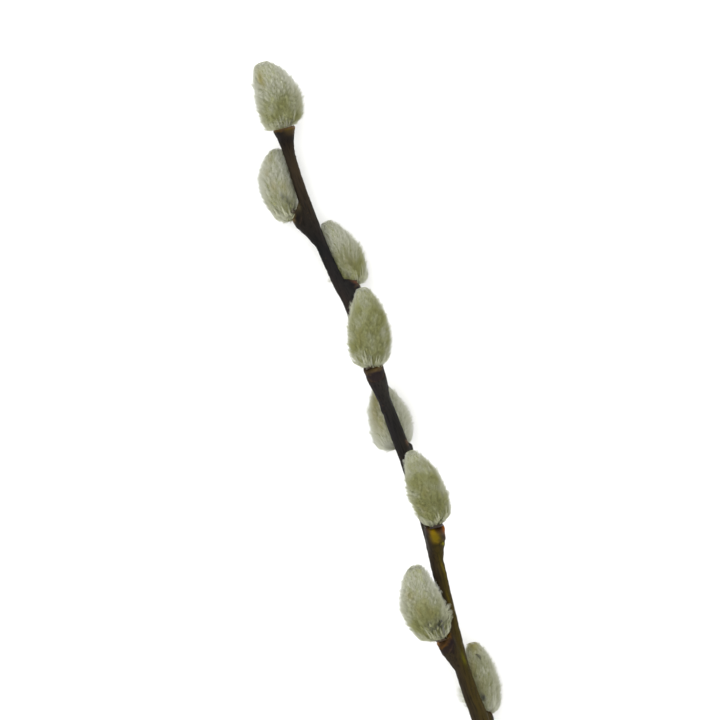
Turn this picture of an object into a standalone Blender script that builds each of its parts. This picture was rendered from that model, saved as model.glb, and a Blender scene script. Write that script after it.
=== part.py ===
"""Willow branch with eight silky catkins, cut and lying on a table.

Metres, +Z up. The branch lies along X with its tip at +X. The origin is the middle of the
underside of the whole branch's bounding box. Lengths below are in millimetres.
"""

import math
import typing

import bmesh
import bpy
from mathutils import Matrix, Vector

MM = 0.001
GAP = 0.35
WELD = 0.001
SMOOTH_ANGLE = math.radians(45)

# Stem: centre line from the pruned end to the shoot's tip, as x, y, z and radius
STEM = (
    (-104.0, 4.4, 8.2, 2.55),
    (-80.9, 3.1, 9.5, 2.30),
    (-71.2, 3.1, 10.1, 2.10),
    (-65.8, 3.3, 10.4, 1.90),
    (-57.9, 3.2, 10.9, 1.85),
    (-50.3, 2.6, 11.5, 1.95),
    (-42.6, 1.8, 12.0, 1.75),
    (-31.1, 0.6, 12.7, 1.70),
    (-21.5, -0.5, 13.1, 1.80),
    (-6.4, -0.3, 13.4, 1.65),
    (0.0, 0.0, 13.3, 1.75),
    (12.2, 0.4, 12.8, 1.58),
    (20.3, 0.7, 12.1, 1.68),
    (36.2, 1.1, 10.5, 1.48),
    (41.7, 1.9, 9.9, 1.55),
    (50.0, 2.9, 9.0, 1.42),
    (60.7, 3.6, 8.3, 1.52),
    (68.7, 3.7, 7.9, 1.40),
    (76.5, 3.6, 7.6, 1.42),
    (79.6, 3.3, 7.6, 1.80),
    (83.6, 2.8, 7.9, 2.80),
)
STEM_SIDES = 10
STEM_STEPS = 2
CUT_END_X = -100.0
CUT_SLANT = math.radians(38)
CUT_BLOCK = (40.0, 30.0, 30.0)

# Cushions: the swelling that carries a catkin, wedge-shaped, with the seat at its upper end.
# Each point is its place below the seat, its share of the way out, and of the seat's radius.
SEAT_RADIUS = 2.45
SEAT_OUT = 3.0
CUSHION = ((-10.5, 0.00, 0.50), (-6.0, 0.30, 0.80), (-3.2, 0.62, 0.97))
CUSHION_SIDES = 8
SEAT_DEPTH = 0.8

# Bud scale: what is left of the cap that covered the bud, a thin collar on the seat's outer rim
SCALE_THICKNESS = 0.6
SCALE_INSET = 0.1
SCALE_LIFT = 0.30
SCALE_HEIGHT = 1.5
SCALE_WAVE = 0.25
SCALE_WAVE_TURN = 2.4
SCALE_END_DROP = 0.9
SCALE_FLARE = 0.45
SCALE_SPAN = math.radians(200)
SCALE_STEPS = 10
SCALE_GAP = 0.55

# Catkin: an egg-shaped core with pointed locks of hair that reach its outline
CORE_SHARE = 0.86
CORE_START = 0.02
CORE_END = 0.93
CORE_SIDES = 10
CORE_RINGS = 8
BASE_FULLNESS = 0.38
TIP_FULLNESS = 0.48
LOCKS = 72
LOCK_SIDES = 3
LOCK_LENGTH = 4.2
LOCK_WIDTH = 0.95
LOCK_LEAST_WIDTH = 0.55
LOCK_ROOT = 0.74
LOCK_LEAST_REACH = 0.12
GOLDEN_ANGLE = math.radians(137.508)

# Foot: the short stalk between a catkin's seat and its core
FOOT_LOW_RADIUS = 1.5
FOOT_TOP_RADIUS = 1.95
FOOT_SIDES = 8
FOOT_DEPTH = 0.5
FOOT_REACH = 0.55

# The table presses small flats into the hair of the lowest catkins
TABLE_TOP = 0.3
TABLE_SIZE = (400.0, 100.0, 40.0)


class Catkin(typing.NamedTuple):
    """A catkin's seat on the stem, and the line and size of its body.

    place is the seat's x, or None at the stem's end; turn is the seat's angle round the stem, 0 to
    the right and 90 up; lean is the angle between the seat's facing and the stem's line. base,
    middle and tip are points of the body's axis, and widest is where its radius is largest.
    """

    place: float | None
    turn: float
    lean: float
    base: tuple
    middle: tuple
    tip: tuple
    radius: float
    widest: float


CATKINS = (
    Catkin(None, 90, 0, (83.5, 3.3, 8.6), (91.6, 1.7, 9.8), (101.0, 2.7, 11.5), 6.1, 0.42),
    Catkin(61.9, 178, 50, (60.9, 8.9, 8.4), (70.6, 8.4, 4.3), (79.5, 6.1, 4.3), 5.05, 0.42),
    Catkin(40.8, -22, 50, (40.2, -1.8, 6.8), (48.9, -1.2, 4.35), (58.6, 0.5, 4.3), 5.2, 0.40),
    Catkin(19.6, 88, 40, (20.0, 0.8, 15.6), (29.8, -1.6, 17.6), (39.7, -3.5, 17.2), 5.75, 0.35),
    Catkin(-1.6, 290, 40, (-1.4, 1.6, 8.6), (7.3, 0.6, 6.5), (16.0, 0.1, 5.2), 5.6, 0.35),
    Catkin(-22.6, 62, 40, (-22.0, -2.8, 16.2), (-12.7, -2.4, 19.0), (-2.7, -1.8, 19.0), 5.0, 0.42),
    Catkin(-50.2, 148, 45, (-49.7, 6.7, 13.6), (-39.7, 7.5, 15.8), (-30.0, 6.3, 15.6), 5.8, 0.38),
    Catkin(-72.0, 292, 45, (-71.9, 0.9, 6.2), (-62.7, -0.5, 4.2), (-53.0, -1.6, 4.4), 5.05, 0.38),
)


def clear_scene():
    for obj in list(bpy.data.objects):
        bpy.data.objects.remove(obj, do_unlink=True)


def new_collection(name):
    collection = bpy.data.collections.new(name)
    bpy.context.scene.collection.children.link(collection)
    return collection


def make_material(name, colour, roughness):
    material = bpy.data.materials.new(name)
    material.use_nodes = True
    shader = material.node_tree.nodes["Principled BSDF"]
    shader.inputs["Base Color"].default_value = (*colour, 1.0)
    shader.inputs["Roughness"].default_value = roughness
    shader.inputs["Metallic"].default_value = 0.0
    return material


def add_object(name, mesh, collection):
    obj = bpy.data.objects.new(name, mesh)
    collection.objects.link(obj)
    return obj


def applied_mesh(obj):
    """The mesh that the object has with its modifiers, with loose caps welded."""
    bpy.context.view_layer.update()
    graph = bpy.context.evaluated_depsgraph_get()
    mesh = bpy.data.meshes.new_from_object(obj.evaluated_get(graph))
    work = bmesh.new()
    work.from_mesh(mesh)
    bmesh.ops.remove_doubles(work, verts=work.verts, dist=WELD * MM)
    bmesh.ops.recalc_face_normals(work, faces=work.faces)
    work.to_mesh(mesh)
    work.free()
    return mesh


def boolean(obj, operation, helpers, solver="EXACT"):
    """Joins the helpers to the object, or cuts them from it, and removes them."""
    group = new_collection("helpers")
    for helper in helpers:
        for home in list(helper.users_collection):
            home.objects.unlink(helper)
        group.objects.link(helper)
    modifier = obj.modifiers.new(operation.lower(), "BOOLEAN")
    modifier.operation = operation
    modifier.operand_type = "COLLECTION"
    modifier.collection = group
    modifier.solver = solver
    mesh = applied_mesh(obj)
    obj.modifiers.remove(modifier)
    obj.data = mesh
    for helper in helpers:
        bpy.data.objects.remove(helper, do_unlink=True)
    bpy.data.collections.remove(group)


def keep_largest_body(mesh):
    """Drops the loose scraps that a cut leaves."""
    work = bmesh.new()
    work.from_mesh(mesh)
    unseen = set(work.verts)
    bodies = []
    while unseen:
        front = [unseen.pop()]
        body = list(front)
        while front:
            for edge in front.pop().link_edges:
                for vert in edge.verts:
                    if vert in unseen:
                        unseen.remove(vert)
                        front.append(vert)
                        body.append(vert)
        bodies.append(body)
    bodies.sort(key=len)
    for body in bodies[:-1]:
        bmesh.ops.delete(work, geom=body, context="VERTS")
    work.to_mesh(mesh)
    work.free()


def smooth_line(points, steps):
    """Points along the smooth curve that runs through the given ones."""
    knots = [Vector(point) for point in points]
    padded = [2 * knots[0] - knots[1], *knots, 2 * knots[-1] - knots[-2]]
    line = []
    for before, start, end, after in zip(padded, padded[1:], padded[2:], padded[3:]):
        for step in range(steps):
            share = step / steps
            bend = (2 * before - 5 * start + 4 * end - after) * share**2
            turn = (3 * start - before - 3 * end + after) * share**3
            line.append((2 * start + (end - before) * share + bend + turn) / 2)
    line.append(knots[-1])
    return line


def tube(name, points, sides, collection):
    """A solid tube through points given as x, y, z and radius in millimetres."""
    curve = bpy.data.curves.new(name, "CURVE")
    curve.dimensions = "3D"
    curve.bevel_depth = MM
    curve.bevel_resolution = sides // 2 - 2
    curve.use_fill_caps = True
    spline = curve.splines.new("POLY")
    spline.points.add(len(points) - 1)
    for knot, (x, y, z, radius) in zip(spline.points, points):
        knot.co = (x * MM, y * MM, z * MM, 1.0)
        knot.radius = radius
    drawn = add_object(name + "_curve", curve, collection)
    mesh = applied_mesh(drawn)
    bpy.data.objects.remove(drawn, do_unlink=True)
    return add_object(name, mesh, collection)


def along(start, end, up=Vector((0, 0, 1))):
    """The frame whose Z runs from start to end and whose X leans to up."""
    axis = (end - start).normalized()
    side = axis.cross(up).normalized()
    front = side.cross(axis)
    return Matrix((front, side, axis)).transposed().to_4x4()


def stem_at(x):
    """The stem's centre and direction at a place along it."""
    for near, far in zip(STEM_LINE, STEM_LINE[1:]):
        if near.x <= x <= far.x:
            share = (x - near.x) / (far.x - near.x)
            return near.xyz.lerp(far.xyz, share), (far.xyz - near.xyz).normalized()
    raise ValueError("no stem at this place")


def seat_radius(catkin):
    return STEM[-1][3] if catkin.place is None else SEAT_RADIUS


def seat_of(catkin):
    """The middle of a catkin's seat, the way it faces, and the way out from the stem."""
    if catkin.place is None:
        before, end = STEM_LINE[-2].xyz, STEM_LINE[-1].xyz
        return end, (end - before).normalized(), Vector((0, 0, 1))
    centre, line = stem_at(catkin.place)
    turn, lean = math.radians(catkin.turn), math.radians(catkin.lean)
    outward = Vector((0, -math.cos(turn), math.sin(turn)))
    outward = (outward - line * outward.dot(line)).normalized()
    facing = line * math.cos(lean) + outward * math.sin(lean)
    return centre + outward * SEAT_OUT, facing, outward


def cushion_points(catkin, grown):
    """The line of a cushion, from inside the stem to its seat."""
    seat, facing, outward = seat_of(catkin)
    points = []
    for rise, share, size in CUSHION:
        centre, _ = stem_at(catkin.place + rise)
        points.append((*(centre + outward * SEAT_OUT * share), SEAT_RADIUS * size + grown))
    points.append((*(seat - facing * SEAT_DEPTH), SEAT_RADIUS + grown))
    points.append((*(seat + facing * grown), SEAT_RADIUS + grown))
    return points


def wood_pieces(collection, grown=0.0):
    """The stem and its cushions, each grown by a clearance."""
    points = [(*point.xyz, point.w + grown) for point in STEM_LINE]
    end, facing, _ = seat_of(CATKINS[0])
    points[-1] = (*(end + facing * grown), STEM[-1][3] + grown)
    pieces = [tube("stem", points, STEM_SIDES, collection)]
    for catkin in CATKINS:
        if catkin.place is not None:
            pieces.append(tube("cushion", cushion_points(catkin, grown), CUSHION_SIDES, collection))
    return pieces


def box(name, centre, size, collection):
    mesh = bpy.data.meshes.new(name)
    work = bmesh.new()
    bmesh.ops.create_cube(work, size=1.0, matrix=Matrix.Diagonal((*(Vector(size) * MM), 1.0)))
    work.to_mesh(mesh)
    work.free()
    obj = add_object(name, mesh, collection)
    obj.location = Vector(centre) * MM
    return obj


def build_twig(collection):
    twig, *cushions = wood_pieces(collection)
    twig.name = "twig"
    boolean(twig, "UNION", cushions)
    centre, _ = stem_at(CUT_END_X)
    centre.x -= CUT_BLOCK[0] / 2
    pruning = box("pruning_cut", centre, CUT_BLOCK, collection)
    shear = Matrix.Identity(4)
    shear[0][2] = math.tan(CUT_SLANT)
    pruning.data.transform(shear)
    boolean(twig, "DIFFERENCE", [pruning])
    keep_largest_body(twig.data)
    twig.data.shade_smooth()
    twig.data.set_sharp_from_angle(angle=SMOOTH_ANGLE)
    return twig


def outline(share, widest):
    """A catkin's radius along its length, as a share of the largest."""
    if not 0.0 < share < 1.0:
        return 0.0
    fullness = BASE_FULLNESS if share < widest else TIP_FULLNESS
    return math.sin(math.pi * share ** (math.log(0.5) / math.log(widest))) ** fullness


def catkin_core(name, catkin, length, collection):
    mesh = bpy.data.meshes.new(name)
    work = bmesh.new()
    bmesh.ops.create_uvsphere(work, u_segments=CORE_SIDES, v_segments=CORE_RINGS, radius=1.0)
    for vert in work.verts:
        share = (vert.co.z + 1) / 2
        across = Vector((vert.co.x, vert.co.y, 0.0))
        if across.length > WELD:
            across = across.normalized() * catkin.radius * CORE_SHARE * outline(share, catkin.widest)
        height = length * (CORE_START + (CORE_END - CORE_START) * share)
        vert.co = (across + Vector((0, 0, height))) * MM
    work.to_mesh(mesh)
    work.free()
    return add_object(name, mesh, collection)


def hair_lock(number, catkin, length, collection):
    """One pointed lock of hair, from inside the core to the catkin's outline."""
    share = (number + 0.5) / LOCKS
    turn = number * GOLDEN_ANGLE
    spoke = Vector((math.cos(turn), math.sin(turn), 0.0))
    sunk = catkin.radius * CORE_SHARE * LOCK_ROOT * outline(share, catkin.widest)
    root_height = length * (CORE_START + (CORE_END - CORE_START) * share)
    root = spoke * sunk + Vector((0, 0, root_height))
    height = min(root_height + LOCK_LENGTH, length)
    reach = catkin.radius * max(outline(height / length, catkin.widest), LOCK_LEAST_REACH)
    point = spoke * reach + Vector((0, 0, height))
    mesh = bpy.data.meshes.new("lock")
    work = bmesh.new()
    depth = (point - root).length
    fullness = LOCK_LEAST_WIDTH + (1 - LOCK_LEAST_WIDTH) * outline(share, catkin.widest)
    width = LOCK_WIDTH * fullness
    bmesh.ops.create_cone(
        work, cap_ends=True, segments=LOCK_SIDES, radius1=width, radius2=0.0, depth=depth
    )
    bmesh.ops.remove_doubles(work, verts=work.verts, dist=WELD)
    bmesh.ops.translate(work, verts=work.verts, vec=(0, 0, depth / 2))
    place = Matrix.Translation(root) @ along(root, point, up=-spoke)
    bmesh.ops.transform(work, matrix=Matrix.Scale(MM, 4) @ place, verts=work.verts)
    work.to_mesh(mesh)
    work.free()
    return add_object("lock", mesh, collection)


def catkin_foot(catkin, collection):
    """The short stalk from a catkin's seat into its core."""
    seat, facing, _ = seat_of(catkin)
    end = Vector(catkin.base).lerp(Vector(catkin.middle), FOOT_REACH)
    start = seat - facing * FOOT_DEPTH
    mesh = bpy.data.meshes.new("foot")
    work = bmesh.new()
    depth = (end - start).length
    bmesh.ops.create_cone(
        work,
        cap_ends=True,
        segments=FOOT_SIDES,
        radius1=FOOT_LOW_RADIUS,
        radius2=FOOT_TOP_RADIUS,
        depth=depth,
    )
    bmesh.ops.translate(work, verts=work.verts, vec=(0, 0, depth / 2))
    place = Matrix.Translation(start) @ along(start, end, up=Vector((0.1, 0.2, 1.0)))
    bmesh.ops.transform(work, matrix=Matrix.Scale(MM, 4) @ place, verts=work.verts)
    work.to_mesh(mesh)
    work.free()
    return add_object("foot", mesh, collection)


def collar(name, catkin, grown, collection):
    """The bud scale's remains: part of a flared ring on the seat, open towards the stem."""
    seat, facing, outward = seat_of(catkin)
    inner = seat_radius(catkin) - SCALE_INSET - SCALE_THICKNESS - grown
    outer = seat_radius(catkin) - SCALE_INSET + grown
    low = SCALE_LIFT - grown
    half = SCALE_SPAN / 2 + grown / SEAT_RADIUS
    mesh = bpy.data.meshes.new(name)
    work = bmesh.new()
    rows = []
    for step in range(SCALE_STEPS + 1):
        turn = -half + 2 * half * step / SCALE_STEPS
        wave = SCALE_WAVE * math.cos(step * SCALE_WAVE_TURN)
        drop = SCALE_END_DROP * abs(step / SCALE_STEPS - 0.5)
        top = SCALE_HEIGHT + wave - drop + grown
        flare = SCALE_FLARE
        section = ((inner, low), (outer, low), (outer + flare, top), (inner + flare, top))
        spoke = Vector((math.cos(turn), math.sin(turn), 0.0))
        rows.append([work.verts.new(spoke * across + Vector((0, 0, z))) for across, z in section])
    for near, far in zip(rows, rows[1:]):
        for corner in range(4):
            following = (corner + 1) % 4
            work.faces.new((near[corner], far[corner], far[following], near[following]))
    work.faces.new(rows[0])
    work.faces.new(reversed(rows[-1]))
    bmesh.ops.recalc_face_normals(work, faces=work.faces)
    place = Matrix.Translation(seat) @ along(seat, seat + facing, up=outward)
    bmesh.ops.transform(work, matrix=Matrix.Scale(MM, 4) @ place, verts=work.verts)
    work.to_mesh(mesh)
    work.free()
    return add_object(name, mesh, collection)


def build_catkin(number, catkin, collection):
    name = f"catkin_{number}"
    base, middle, tip = Vector(catkin.base), Vector(catkin.middle), Vector(catkin.tip)
    length = (tip - base).length
    body = catkin_core(name, catkin, length, collection)
    locks = [hair_lock(index, catkin, length, collection) for index in range(LOCKS)]
    boolean(body, "UNION", locks, solver="MANIFOLD")
    place = Matrix.Translation(base * MM) @ along(base, tip)
    bulge = (middle - base.lerp(tip, 0.5)) * MM
    for vert in body.data.vertices:
        share = min(max(vert.co.z / (length * MM), 0.0), 1.0)
        vert.co = place @ vert.co + bulge * 4 * share * (1 - share)
    boolean(body, "UNION", [catkin_foot(catkin, collection)], solver="MANIFOLD")
    table = box("table", (0, 0, TABLE_TOP - TABLE_SIZE[2] / 2), TABLE_SIZE, collection)
    cutters = wood_pieces(collection, grown=GAP)
    cutters += [collar("scale_clearance", catkin, SCALE_GAP, collection), table]
    boolean(body, "DIFFERENCE", cutters, solver="MANIFOLD")
    keep_largest_body(body.data)
    body.data.shade_flat()
    return body


def centre_on_origin(objects):
    """Moves the objects so that the middle of their bounding box's underside is the origin."""
    corners = [vert.co for obj in objects for vert in obj.data.vertices]
    low = Vector([min(corner[axis] for corner in corners) for axis in range(3)])
    high = Vector([max(corner[axis] for corner in corners) for axis in range(3)])
    shift = Vector(((low.x + high.x) / 2, (low.y + high.y) / 2, low.z))
    for obj in objects:
        obj.data.transform(Matrix.Translation(-shift))


STEM_LINE = smooth_line(STEM, STEM_STEPS)


def main():
    clear_scene()
    parts = new_collection("willow_branch")
    bark = make_material("bark", (0.035, 0.024, 0.014), 0.55)
    hair = make_material("catkin_hair", (0.52, 0.54, 0.43), 0.85)
    scale = make_material("bud_scale", (0.16, 0.06, 0.012), 0.45)
    twig = build_twig(parts)
    twig.data.materials.append(bark)
    built = [twig]
    for number, catkin in enumerate(CATKINS, 1):
        body = build_catkin(number, catkin, parts)
        body.data.materials.append(hair)
        built.append(body)
        remains = collar(f"bud_scale_{number}", catkin, 0.0, parts)
        remains.data.materials.append(scale)
        built.append(remains)
    centre_on_origin(built)


main()
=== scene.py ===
"""Willow branch with eight silky catkins: bark, hair, bracts and bud scales over the CAD frame.

The branch lies along X with its tip at +X, and the camera looks straight down on it. Numbers are
in millimetres up to the moment that a mesh is written.
"""

import collections
import math

import bpy
import numpy as np
from mathutils import Euler, Matrix, Vector, noise


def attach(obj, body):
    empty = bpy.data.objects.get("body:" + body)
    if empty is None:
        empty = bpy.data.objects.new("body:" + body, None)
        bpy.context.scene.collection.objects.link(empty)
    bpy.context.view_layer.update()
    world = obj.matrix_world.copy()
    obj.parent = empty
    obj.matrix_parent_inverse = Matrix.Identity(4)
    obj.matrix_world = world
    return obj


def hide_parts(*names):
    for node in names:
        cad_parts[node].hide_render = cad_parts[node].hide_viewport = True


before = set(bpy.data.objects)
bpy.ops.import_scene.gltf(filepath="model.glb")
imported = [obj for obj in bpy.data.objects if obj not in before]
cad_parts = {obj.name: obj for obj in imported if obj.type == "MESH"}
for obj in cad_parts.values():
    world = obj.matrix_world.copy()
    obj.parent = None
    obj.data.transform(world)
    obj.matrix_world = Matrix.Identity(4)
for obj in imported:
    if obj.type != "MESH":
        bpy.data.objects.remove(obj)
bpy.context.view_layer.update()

MM = 0.001
UP = np.array([0.0, 0.0, 1.0])
RIGHT = np.array([0.0, -1.0, 0.0])

# From the branch's own numbers below to the frame
DESIGN_SHIFT = np.array([0.425, -3.12, -0.3])

# Stem: centre line from the pruned end to the shoot's tip, as x, y, z and radius
STEM = (
    (-104.0, 4.4, 8.2, 2.55),
    (-80.9, 3.1, 9.5, 2.30),
    (-71.2, 2.9, 10.1, 2.10),
    (-65.8, 3.1, 10.4, 2.00),
    (-57.9, 3.1, 10.9, 1.90),
    (-50.3, 2.6, 11.5, 1.95),
    (-42.6, 1.8, 12.0, 1.75),
    (-31.1, 0.7, 12.7, 1.72),
    (-21.5, -0.2, 13.1, 1.85),
    (-6.4, -0.15, 13.4, 1.70),
    (0.0, 0.0, 13.3, 1.75),
    (12.2, 0.4, 12.8, 1.58),
    (20.3, 0.7, 12.1, 1.68),
    (36.2, 1.1, 10.5, 1.48),
    (41.7, 1.9, 9.9, 1.55),
    (50.0, 2.9, 9.0, 1.42),
    (60.7, 3.6, 8.3, 1.52),
    (68.7, 3.7, 7.9, 1.40),
    (76.5, 3.6, 7.6, 1.42),
    (79.6, 3.3, 7.6, 1.80),
    (83.6, 2.8, 7.9, 2.80),
)
STEM_STEPS = 8
CUT_PLACE = -99.2
CUT_SLANT = math.radians(38)

# Cushions: place below the seat, share of the way out, and share of the seat's radius
SEAT_OUT = 3.0
CUSHION = ((-10.5, 0.00, 0.50), (-6.0, 0.30, 0.80), (-3.2, 0.62, 0.97))
SEAT_DEPTH = 0.8
WOOD_VOXEL = 0.22
WOOD_SMOOTHING = 16
# Gives back what the smoothing takes off
WOOD_SWELL = 0.05

# Clearances: hair to wood, hair to the seat's plane, and all to the table and the sides of the box
WOOD_CLEARANCE = 0.06
SEAT_GAP = 0.1
TABLE_GAP = 0.01
HALF_WIDTH = 10.95
# How far past its ends a stretch of wood still pushes, as a share of its length
END_OVERLAP = 0.1
# Hair pressed on to the table ends above this height, and settles towards it from this far up
LOWEST_TIP = 0.05
SETTLE = 0.25
# Keeps a division off zero
TINY = 0.001

# Body: soft lumps on it, and the share of its radius that the core under the hair takes
LUMPS = 0.10
LUMPS_ROUND, LUMPS_ALONG = 1.2, 3.4
CORE_SHARE = 0.76
CORE_START, CORE_SPAN = 0.02, 0.93
# Things on the body are spaced by this angle, and round it as if it were never thinner than this
GOLDEN_ANGLE = math.radians(137.508)
LEAST_RADIUS = 0.8

# Hair coat: straight hairs that stand half up, nearly half in tufts and the rest loose between them
HAIRS = 20500
TUFTS = 330
LOOSE_SHARE = 0.55
HAIR_RADIUS = 0.040
RADIUS_RANGE = (0.5, 1.6)
HAIR_RUN = 1.05
RUN_RANGE = (0.4, 1.5)
SIZE_SPREAD = 0.2
ROOT_DEPTH = 0.93
# How far roots and tips stray from the middle of their tuft, and loose hairs from their place
ROOT_SPREAD = 0.62
TIP_SPREAD = 0.13
LOOSE_SPREAD = 0.9
# How far a tuft strays round the axis, leans to one side and stands out of the body
TUFT_TURN = 0.06
TUFT_LEAN = 0.30
TUFT_RISE, TUFT_RISE_SPREAD = 0.08, 0.08
PROUD_SHARE = 0.35
PROUD_RISE = 0.40
# How far in the tips lie from there in a tuft, and from the body's surface where they are loose
TUFT_DEPTH = 0.14
LOOSE_SINK, LOOSE_DEPTH = 0.12, 0.28
# Shares of the length: the last root, where a tip's radius is read, and where tips are held back
LAST_ROOT = 0.985
TIP_ENDS = (0.02, 0.985)
LAST_FREE_TIP, TIP_HOLD = 0.96, 0.8
# A hair bends this share of the way along and takes its colour from this one, and a root that
# would lie deeper than this in the wood has no hair
BEND_PLACE = 0.3
TONE_PLACE = 0.6
DEEPEST_ROOT = 1.2

# Skirt: longer, bent and paler hairs that fan out from the seat over the catkin's foot
SKIRT_HAIRS = 950
SKIRT_TUFTS = 42
SKIRT_RADIUS = 0.03
SKIRT_PALE = 0.45
SKIRT_SHIFT = 0.6
SKIRT_ROOTS, SKIRT_TIPS, SKIRT_ROOT_REACH = (-0.01, 0.02), (-0.02, 0.26), (0.4, 1.7)
SKIRT_ROOT_TURN, SKIRT_TIP_TURN, SKIRT_TIP_SPREAD = 0.28, 0.14, 0.03
SKIRT_RISE, SKIRT_RISE_SPREAD = 0.06, 0.10

# Green of the flowers: how far past its end it fades out, over how much, and its patches' size
OLIVE_OVERRUN, OLIVE_FADE = 0.22, 0.42
OLIVE_PATCH = 2.8

# Bracts under the hair, counted from the foot, and how much longer and higher the shown ones are
BRACT_SPOTS = 190
BRACTS = 40
BRACT_TURN = 0.2
BRACT_WIDTH = 0.8
BRACT_RUN, BRACT_SHOWN_RUN = 1.3, 0.6
BRACT_LIFT, BRACT_SHOWN_LIFT = 0.80, 0.27

# Stalk: its radius as shares of the seat's, how far it goes into the body, and how orange it is
STALK_TAPER = (0.48, 0.42, 0.38)
STALK_END = 1.5
STALK_TINT = 0.35

HAIR_SEED, BRACT_SEED, SCALE_SEED = 100, 300, 500


# A catkin's seat, its body's axis and size, and how its colours lie. place is the seat's x, or None
# at the stem's end; turn is the seat's angle round the stem, 0 to the right and 90 up; lean is the
# angle between the seat's facing and the stem's line. widest is the share of the body's length
# where it has its full radius. olive is how far the green of the flowers shows through, olive_to is
# how far up the body it reaches, and dark is how far the dark bract tips stand out of the hair
# beside the stem. foot and crown say how pointed the body's ends are: a smaller number is blunter.
# seat is the seat's radius.
Catkin = collections.namedtuple(
    "Catkin", "place turn lean base middle tip radius widest olive olive_to dark foot crown seat"
)
CATKINS = (
    Catkin(None, 90, 0, (83.7, 2.7, 8.6), (91.6, 1.9, 9.8), (100.9, 3.3, 11.5),
           6.1, 0.42, 0.90, 0.50, 0.0, 0.20, 0.45, 2.80),
    Catkin(62.8, 178, 50, (60.9, 8.9, 8.4), (70.6, 8.8, 4.3), (79.5, 6.3, 4.3),
           5.05, 0.50, 0.60, 0.34, 0.0, 0.50, 0.50, 2.45),
    Catkin(40.8, -22, 50, (40.2, -1.8, 6.8), (48.9, -1.2, 4.35), (58.3, 0.5, 4.3),
           5.2, 0.40, 1.00, 0.50, 0.0, 0.45, 0.50, 2.45),
    Catkin(19.6, 88, 40, (20.0, 0.8, 15.6), (29.6, -1.5, 17.6), (39.5, -3.4, 17.2),
           5.75, 0.35, 1.00, 0.86, 0.0, 0.56, 0.52, 2.45),
    Catkin(-1.6, 281, 40, (-1.4, 1.6, 8.6), (7.3, 0.7, 6.5), (15.8, 0.3, 5.2),
           5.6, 0.36, 0.15, 0.50, 0.0, 0.45, 0.60, 2.05),
    Catkin(-22.6, 62, 40, (-22.0, -2.6, 16.2), (-12.7, -2.4, 19.0), (-2.7, -1.5, 19.0),
           5.1, 0.40, 1.00, 0.80, 0.0, 0.50, 0.52, 2.45),
    Catkin(-50.2, 148, 45, (-49.7, 6.7, 13.6), (-39.7, 7.6, 15.8), (-30.2, 6.4, 15.6),
           5.8, 0.40, 0.90, 0.52, 1.0, 0.54, 0.48, 2.45),
    Catkin(-72.0, 292, 45, (-71.9, 0.9, 6.2), (-62.7, -0.4, 4.2), (-53.6, -1.3, 4.4),
           4.85, 0.40, 0.45, 0.80, 0.0, 0.48, 0.50, 2.45),
)

# Marks on each catkin's hair, as x, y, size along and across, how yellow and how dark
HAIR_SPOTS = {
    1: (
        # Catkin 1's three marks at its foot, just above the seat band, are dark olive as painted
        # shadow
        (97.6, 4.8, 1.8, 1.0, 0.95, 0.0), (84.9, 1.6, 1.1, 2.6, 0.30, 0.42),
        (84.8, 0.4, 0.8, 1.0, 0.10, 0.70), (84.7, 3.6, 0.8, 1.2, 0.10, 0.50),
    ),
    2: (
        (76.5, 9.0, 1.3, 0.8, 0.50, 0.0), (73.3, 10.8, 1.2, 0.8, 0.45, 0.0),
        (69.3, 10.2, 1.6, 1.1, 0.50, 0.0), (68.4, 7.4, 1.5, 1.1, 0.50, 0.0),
        (66.2, 8.5, 0.9, 0.7, 0.0, 0.65), (65.2, 7.8, 0.9, 0.8, 0.0, 0.85),
        (64.1, 7.2, 0.9, 0.9, 0.0, 0.95),
    ),
    3: ((46.4, -2.3, 2.6, 2.0, 0.25, 0.15), (43.0, -0.6, 1.2, 0.8, 0.1, 0.45)),
    4: (
        (28.4, 1.6, 2.0, 1.0, 0.30, 0.0), (22.8, -2.0, 1.0, 0.3, 0.1, 0.50),
        (22.3, 0.6, 0.9, 0.8, 0.0, 0.30),
    ),
    5: (
        (10.5, 3.0, 3.6, 1.5, 0.80, 0.10), (5.0, 3.6, 2.4, 1.3, 0.60, 0.0),
        (8.0, 4.4, 4.0, 1.6, 0.65, 0.10), (-0.6, 3.4, 0.7, 1.2, 0.0, 0.40),
    ),
    6: ((-12.7, -1.9, 1.6, 1.2, 0.35, 0.0), (-17.1, 0.1, 1.6, 1.0, 0.40, 0.05)),
    7: (
        (-36.9, 10.0, 1.3, 1.5, 0.65, 0.0), (-39.2, 6.8, 1.4, 1.2, 0.35, 0.0),
        (-40.8, 9.2, 2.0, 1.2, 0.50, 0.0), (-42.4, 5.9, 1.6, 1.2, 0.50, 0.05),
        (-46.0, 4.7, 1.4, 1.4, 0.1, 0.95), (-46.5, 6.5, 0.9, 1.3, 0.1, 0.85),
        (-45.2, 7.4, 0.8, 1.2, 0.2, 0.55),
    ),
    8: (
        (-54.6, -1.2, 2.2, 1.8, 0.95, 0.0), (-60.0, 0.9, 3.0, 1.2, 0.65, 0.0),
        (-65.0, 0.2, 2.2, 1.5, 0.45, 0.1), (-67.8, 0.5, 1.0, 0.9, 0.0, 0.95),
    ),
}
# Tufts that stand out further than the rest, as x, y, size along and across, and how far
STRAY_TUFTS = {
    1: ((84.6, -1.2, 1.3, 1.3, 0.7), (85.6, 6.8, 1.5, 1.3, 0.6)),
    3: ((43.0, 3.6, 1.6, 1.3, 2.0),),
    6: ((-20.5, -6.0, 1.3, 1.2, 0.5),),
    7: ((-45.0, 1.4, 1.8, 1.5, 1.1),),
    8: ((-67.0, -4.2, 1.6, 1.3, 0.6), (-66.5, 5.2, 3.6, 1.4, 2.2)),
}
# A dark fleck that lies on catkin 8, from one end to the other
FLECK = ((-57.0, -1.15), (-58.9, -1.85))
FLECK_LIFT, FLECK_BOW, FLECK_WIDTH, FLECK_STRAND = 0.12, 0.25, 0.75, 0.6


def unit(vectors):
    return vectors / np.linalg.norm(vectors, axis=-1, keepdims=True)


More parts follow.
